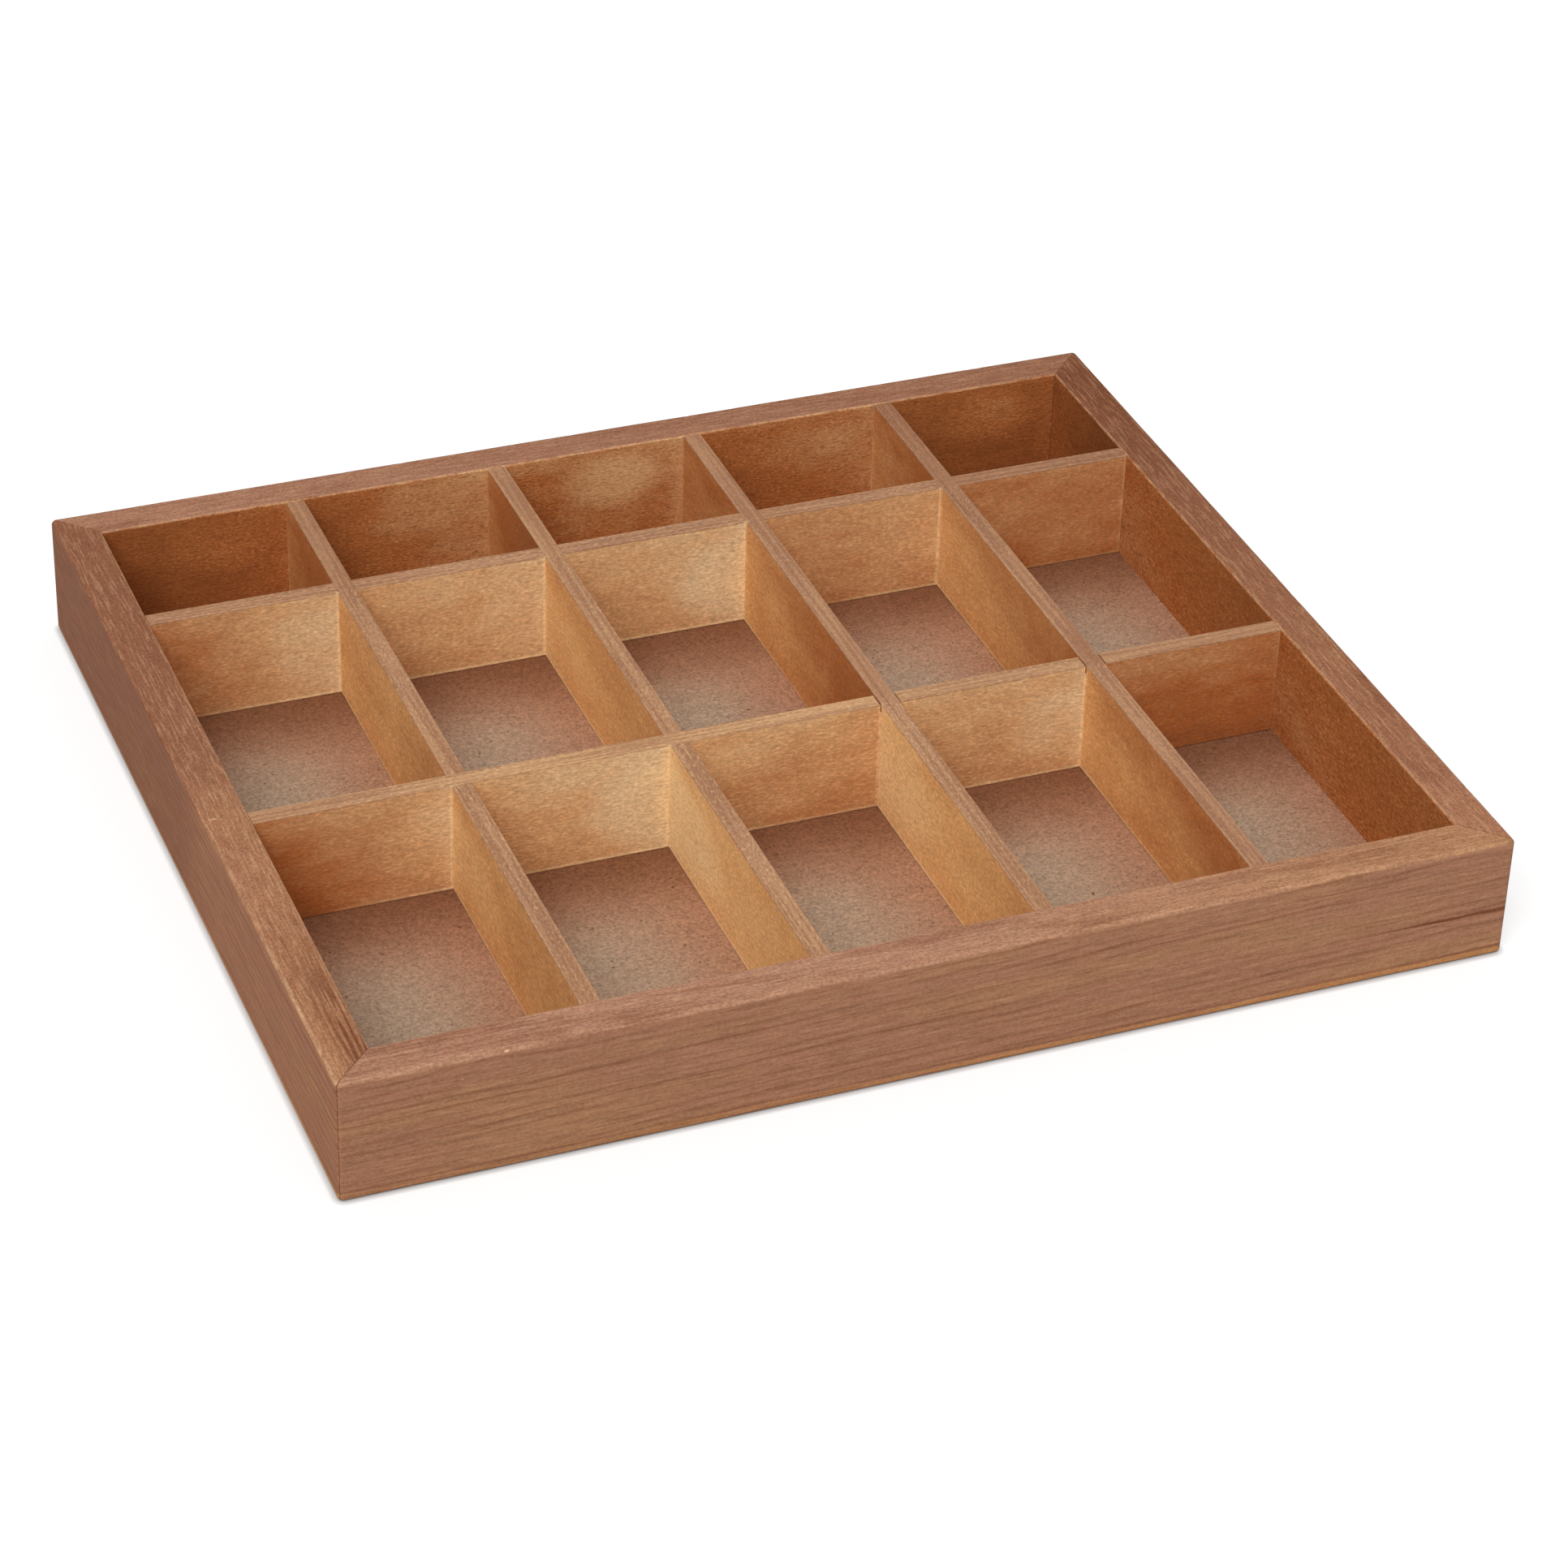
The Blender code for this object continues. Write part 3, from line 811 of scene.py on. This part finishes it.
def slat_tree():
    """A slat: a bar with rounded edges, slotted halfway through wherever another slat crosses it."""
    group = bpy.data.node_groups.new("halved_slat", "GeometryNodeTree")
    tree = Tree(group)
    for name, kind in SLAT_INPUTS:
        group.interface.new_socket(name, in_out="INPUT", socket_type=kind)
    group.interface.new_socket("Slat", in_out="OUTPUT", socket_type="NodeSocketGeometry")
    source = group.nodes.new("NodeGroupInput")
    given = {name: Wire(tree, source.outputs[name]) for name, _ in SLAT_INPUTS}
    half = given["Length"] * 0.5
    start = tree.vector(-half, 0.0, 0.0)
    end = tree.vector(half, 0.0, 0.0)
    line = tree.node("GeometryNodeCurvePrimitiveLine", None, {"Start": start, "End": end})
    outline = tree.node("GeometryNodeCurvePrimitiveQuadrilateral", None,
                        {"Width": given["Thickness"], "Height": given["Height"]})
    _, level, _ = tree.apart(tree.node("GeometryNodeInputPosition"))
    upper = (level * (1.0 / MM)).most(0.0).least(1.0)
    radius = given["Foot Radius"] + (given["Edge Radius"] - given["Foot Radius"]) * upper
    rounded = tree.node("GeometryNodeFilletCurve", {"mode": "POLY"},
                        {"Curve": outline, "Radius": radius, "Count": 4})
    bar = tree.node("GeometryNodeCurveToMesh", None,
                    {"Curve": line, "Profile Curve": rounded, "Fill Caps": True})
    raised = tree.vector(0.0, 0.0, given["Height"] * 0.5)
    bar = tree.node("GeometryNodeTransform", None, {"Geometry": bar, "Translation": raised})
    first = tree.vector(given["First Crossing"], 0.0, 0.0)
    pitch = tree.vector(given["Crossing Pitch"], 0.0, 0.0)
    points = tree.node("GeometryNodeMeshLine", {"mode": "OFFSET"},
                       {"Count": given["Crossings"], "Start Location": first, "Offset": pitch})
    number = tree.node("GeometryNodeInputIndex")
    odd = number.maths("LESS_THAN", number, given["Odd Crossings"])
    below = given["Slots From Below"]
    width, depth = given["Slot Width"], given["Slot Depth"]
    usual = slot_cutters(tree, given, points, width, depth, below, 1.0 - odd)
    other = slot_cutters(tree, given, points, width, depth, 1.0 - below, odd)
    mouth = given["Mouth Width"]
    open_slots = (1.0 - odd) * mouth.maths("GREATER_THAN", mouth, width)
    mouths = slot_cutters(tree, given, points, mouth, given["Mouth Depth"], below, open_slots)
    joined = group.nodes.new("GeometryNodeJoinGeometry")
    for cutters in (usual, other, mouths):
        group.links.new(cutters.socket, joined.inputs[0])
    cutters = tree.node("GeometryNodeRealizeInstances", None, {"Geometry": Wire(tree, joined.outputs[0])})
    cut = tree.node("GeometryNodeMeshBoolean", {"operation": "DIFFERENCE", "solver": "EXACT"},
                    {"Mesh 1": bar, "Mesh 2": cutters, "Self Intersection": True})
    spin = tree.vector(0.0, 0.0, given["Turn"])
    placed = tree.node("GeometryNodeTransform", None,
                       {"Geometry": cut, "Translation": given["Place"], "Rotation": spin})
    plain = tree.node("GeometryNodeRealizeInstances", None, {"Geometry": placed})
    finished = tree.node("GeometryNodeSetMaterial", None, {"Geometry": plain, "Material": given["Material"]})
    tree.node("NodeGroupOutput", None, {"Slat": finished})
    return group


def run_tree(name, group, values):
    """The mesh that a node tree makes from the given values."""
    holder = add_object(name, bpy.data.meshes.new(name))
    modifier = holder.modifiers.new("tree", "NODES")
    modifier.node_group = group
    for item in group.interface.items_tree:
        if item.in_out == "INPUT":
            modifier[item.identifier] = values[item.name]
    graph = bpy.context.evaluated_depsgraph_get()
    mesh = bpy.data.meshes.new_from_object(holder.evaluated_get(graph), depsgraph=graph)
    holder.modifiers.remove(modifier)
    bpy.data.objects.remove(holder)
    if not mesh.polygons:
        raise RuntimeError(f"the tree made no faces for {name}")
    mesh.name = name
    return mesh


def slat_group():
    """The slat tree, which all six slats share."""
    return bpy.data.node_groups.get("halved_slat") or slat_tree()


def add_slat(name, turn, reach, crossings, values, material):
    """Runs the slat tree for one packed slat and puts the result in its place."""
    sizes = bpy.context.scene.sorting_box_sizes
    axis = 1 if turn else 0
    bottom = BOARD_TOP + sizes.joint_seam
    place = Vector((middle(name, 0), middle(name, 1), bottom))
    place[axis] = 0.0
    given = {
        "Length": 2 * (reach - sizes.joint_seam),
        "Height": SLAT_TOP - bottom,
        "Thickness": SLAT_THICKNESS,
        "Edge Radius": sizes.slat_radius,
        "Foot Radius": sizes.eased,
        "First Crossing": crossings[0],
        "Crossing Pitch": crossings[1] - crossings[0],
        "Crossings": len(crossings),
        "Slot Depth": (SLAT_TOP - bottom) / 2,
        "Place": place,
        "Turn": math.radians(turn),
        "Material": material,
        **values,
    }
    mesh = run_tree(name, slat_group(), given)
    return finish_piece(f"dressed_{name}", mesh, material, name, sizes.eased)


# Looks of the six slats; the first entry gives the painted light and shade of their walls
SLATS = {
    "column_slat_1": SlatLook(
        WallLook(((0.44, 0.17, 0.31), (0.45, 0.28, -0.02), (0.03, 0.36, 0.02)), -0.10, 0.5),
        pale=(0.06, 0.0), dusk=(-0.02, 0.12, 0.22)),
    "column_slat_2": SlatLook(
        WallLook(((0.78, 0.24, 0.59), (0.50, 0.14, 0.20), (-0.05, 0.64, 0.0)), -0.29, 0.5),
        pale=(0.12, 0.0), dusk=(-0.02, 0.12, 0.12)),
    "column_slat_3": SlatLook(
        WallLook(((0.66, 0.38, 0.32), (0.17, 0.64, 0.13), (0.14, 0.02, 0.0)), -0.16, 0.5),
        pale=(0.04, 0.0), dusk=(-0.02, 0.12, 0.14)),
    "column_slat_4": SlatLook(
        WallLook(((0.25, 0.30, 0.15), (0.31, 0.45, 0.09), (0.09, 0.0, 0.22)), -0.29, 0.5),
        pale=(0.0, 0.0), dusk=(-0.02, 0.12, 0.44)),
    "front_row_slat": SlatLook(
        WallLook(((0.21, 0.59, 0.28), (0.62, 0.29, 0.46), (0.43, -0.13, 0.06), (0.48, 0.05, 0.38),
                  (-0.03, -0.15, 0.10)), 0.39, 0.6),
        pale=(0.20, 0.36), dusk=(0.02, 0.17, 0.10)),
    "back_row_slat": SlatLook(
        WallLook(((0.40, 0.65, 0.32), (0.56, 0.28, 0.16), (0.63, 0.25, 0.50), (0.35, 0.20, 0.14),
                  (0.15, 0.10, 0.0)), 0.15, 0.6),
        pale=(0.0, 0.0), dusk=(0.06, 0.18, 0.36)),
}


class SORTINGBOX_OT_column_slats(bpy.types.Operator):
    """Adds the four slats that run from front to back"""
    bl_idname = "sorting_box.column_slats"
    bl_label = "Front-to-back Slats"

    def execute(self, context):
        sizes = context.scene.sorting_box_sizes
        tight = SLAT_THICKNESS + sizes.slot_play
        for number, (name, place) in enumerate(zip(COLUMN_NAMES, COLUMN_PLACES), start=1):
            odd = 1 if number <= COLUMNS_UNDER_FRONT_ROW else 0
            seed = number * 3.7
            material = slat_material(f"slat_wood_{name}", 90, -place, ROW_BAYS, seed, 1.0, SLATS[name])
            values = {"Odd Crossings": odd, "Slots From Below": True, "Slot Width": tight, "Mouth Width": 0.0,
                      "Mouth Depth": 0.0}
            add_slat(name, 90, INNER_Y, ROW_PLACES, values, material)
        return {"FINISHED"}


class SORTINGBOX_OT_row_slats(bpy.types.Operator):
    """Adds the two slats that run from side to side"""
    bl_idname = "sorting_box.row_slats"
    bl_label = "Side-to-side Slats"

    def execute(self, context):
        sizes = context.scene.sorting_box_sizes
        tight = SLAT_THICKNESS + sizes.slot_play
        plays = {"front_row_slat": (COLUMNS_UNDER_FRONT_ROW, sizes.open_mouth), "back_row_slat": (0, 0.0)}
        for number, (name, place) in enumerate(zip(ROW_NAMES, ROW_PLACES), start=1):
            odd, mouth = plays[name]
            seed = number * 5.3 + 20.0
            material = slat_material(f"slat_wood_{name}", 0, place, COLUMN_BAYS, seed, -1.0, SLATS[name])
            values = {"Odd Crossings": odd, "Slots From Below": False, "Slot Width": tight,
                      "Mouth Width": tight + mouth, "Mouth Depth": MOUTH_SLOPE * mouth}
            add_slat(name, 0, INNER_X, COLUMN_PLACES, values, material)
        return {"FINISHED"}


class SORTINGBOX_OT_bottom_board(bpy.types.Operator):
    """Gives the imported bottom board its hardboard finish"""
    bl_idname = "sorting_box.bottom_board"
    bl_label = "Hardboard Bottom"

    def execute(self, context):
        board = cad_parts["bottom_board"]
        board.data.materials.clear()
        board.data.materials.append(board_material())
        return {"FINISHED"}


# The camera that the photograph was taken from: angles in degrees, distance in metres, lens in millimetres
CAMERA_TURN = -22.458
CAMERA_RISE = 33.752
CAMERA_ROLL = 2.035
CAMERA_AIM = Vector((0.0115, -0.0052, 0.0))
CAMERA_AWAY = 1.6183
CAMERA_LENS = 107.39
SENSOR_WIDTH = 36.0
CLIP_START = 0.05
# Light: levels that a white surface gets, angles in degrees
SKY_LEVEL = 0.56
KEY_LEVEL = 0.56
KEY_SOFTNESS = 34.0
KEY_TURN = -36.0
KEY_RISE = 50.0
FLOOR_SIDE = 6.0
FLOOR_DROP = 0.05 * MM
FLOOR_SEEN = 0.50
FLOOR_BOUNCE = 0.42
FLOOR_GLOW = 0.58
CONTACT_REACH = 2.4 * MM


def direction(turn, rise):
    """Unit vector towards that azimuth and elevation in degrees, where azimuth 0 is in front of the box."""
    turn, rise = math.radians(turn), math.radians(rise)
    return Vector((math.sin(turn) * math.cos(rise), -math.cos(turn) * math.cos(rise), math.sin(rise)))


def seen_directly(tree):
    """1 for what the camera sees directly, in a gloss or through glass, and 0 for light on other surfaces."""
    path = tree.node("ShaderNodeLightPath")
    rays = path.socket.node.outputs
    camera, glossy, clear = (Wire(tree, rays[name]) for name in
                             ("Is Camera Ray", "Is Glossy Ray", "Is Transmission Ray"))
    return camera.most(glossy).most(clear)


def add_floor():
    """A white floor that glows a little for the camera and keeps the shadow where the box touches it."""
    side, level = FLOOR_SIDE, BOX_LOW.z - FLOOR_DROP
    mesh = bpy.data.meshes.new("floor")
    corners = [(-side, -side), (side, -side), (side, side), (-side, side)]
    mesh.from_pydata([(x, y, level) for x, y in corners], [], [(0, 1, 2, 3)])
    material, tree = new_material("white_floor")
    shade = seen_directly(tree) * (FLOOR_SEEN - FLOOR_BOUNCE) + FLOOR_BOUNCE
    diffuse = tree.node("ShaderNodeBsdfDiffuse", None, {"Color": tree.grey(shade)})
    contact = tree.node("ShaderNodeAmbientOcclusion", {"samples": 16}, {"Distance": CONTACT_REACH},
                        output="AO")
    strength = seen_directly(tree) * contact * contact * FLOOR_GLOW
    glow = tree.node("ShaderNodeEmission", None, {"Color": (1.0, 1.0, 1.0), "Strength": strength})
    both = tree.node("ShaderNodeAddShader", None, {0: diffuse, 1: glow})
    tree.node("ShaderNodeOutputMaterial", None, {"Surface": both})
    mesh.materials.append(material)
    add_object("floor", mesh)


def add_world():
    """An even sky, which the camera sees as white."""
    world = bpy.data.worlds.new("plain_studio")
    world.use_nodes = True
    tree = Tree(world.node_tree)
    strength = seen_directly(tree) * (1.0 - SKY_LEVEL) + SKY_LEVEL
    sky = tree.node("ShaderNodeBackground", None, {"Color": (1.0, 1.0, 1.0), "Strength": strength})
    tree.node("ShaderNodeOutputWorld", None, {"Surface": sky})
    bpy.context.scene.world = world


def add_lamp(name, turn, rise, softness, level):
    """A distant soft lamp. level is what it adds to a white surface that faces it."""
    lamp = bpy.data.lights.new(name, "SUN")
    lamp.angle = math.radians(softness)
    lamp.energy = level * math.pi
    holder = add_object(name, lamp)
    towards = direction(turn, rise)
    holder.location = towards
    holder.rotation_euler = towards.to_track_quat("Z", "Y").to_euler()


def add_camera():
    """The camera, aimed at CAMERA_AIM and turned about its own axis by CAMERA_ROLL."""
    camera = bpy.data.cameras.new("camera")
    camera.sensor_width = SENSOR_WIDTH
    camera.lens = CAMERA_LENS
    camera.clip_start = CLIP_START
    back = direction(CAMERA_TURN, CAMERA_RISE)
    right = Vector((0.0, 0.0, 1.0)).cross(back).normalized()
    over = back.cross(right)
    axes = Matrix((right, over, back)).transposed().to_4x4()
    holder = add_object("camera", camera)
    holder.matrix_world = (Matrix.Translation(CAMERA_AIM + back * CAMERA_AWAY) @ axes
                           @ Matrix.Rotation(math.radians(CAMERA_ROLL), 4, "Z"))
    bpy.context.scene.camera = holder


class SORTINGBOX_OT_stage(bpy.types.Operator):
    """Adds the white floor, the sky, the soft lamp and the camera"""
    bl_idname = "sorting_box.stage"
    bl_label = "Stage"

    def execute(self, context):
        context.scene.view_settings.view_transform = "Standard"
        add_floor()
        add_world()
        add_lamp("key_lamp", KEY_TURN, KEY_RISE, KEY_SOFTNESS, KEY_LEVEL)
        add_camera()
        return {"FINISHED"}


STEPS = ("rails", "column_slats", "row_slats", "bottom_board", "stage")


class SORTINGBOX_PT_panel(bpy.types.Panel):
    """Lists the sizes, the colours and the steps that build the sorting box"""
    bl_idname = "SORTINGBOX_PT_panel"
    bl_label = "Sorting Box"
    bl_space_type = "VIEW_3D"
    bl_region_type = "UI"
    bl_category = "Sorting Box"

    def draw(self, context):
        for group in (context.scene.sorting_box_sizes, context.scene.sorting_box_colours):
            column = self.layout.column()
            for name in group.__annotations__:
                column.prop(group, name)
        for step in STEPS:
            self.layout.operator(f"sorting_box.{step}")


CLASSES = (
    SORTINGBOX_PG_sizes,
    SORTINGBOX_PG_colours,
    SORTINGBOX_OT_rails,
    SORTINGBOX_OT_column_slats,
    SORTINGBOX_OT_row_slats,
    SORTINGBOX_OT_bottom_board,
    SORTINGBOX_OT_stage,
    SORTINGBOX_PT_panel,
)


def register():
    for entry in CLASSES:
        bpy.utils.register_class(entry)
    bpy.types.Scene.sorting_box_sizes = PointerProperty(type=SORTINGBOX_PG_sizes)
    bpy.types.Scene.sorting_box_colours = PointerProperty(type=SORTINGBOX_PG_colours)


def unregister():
    del bpy.types.Scene.sorting_box_colours
    del bpy.types.Scene.sorting_box_sizes
    for entry in reversed(CLASSES):
        bpy.utils.unregister_class(entry)


def main():
    """Builds the box step by step."""
    register()
    for step in STEPS:
        getattr(bpy.ops.sorting_box, step)()


if __name__ == "__main__":
    main()
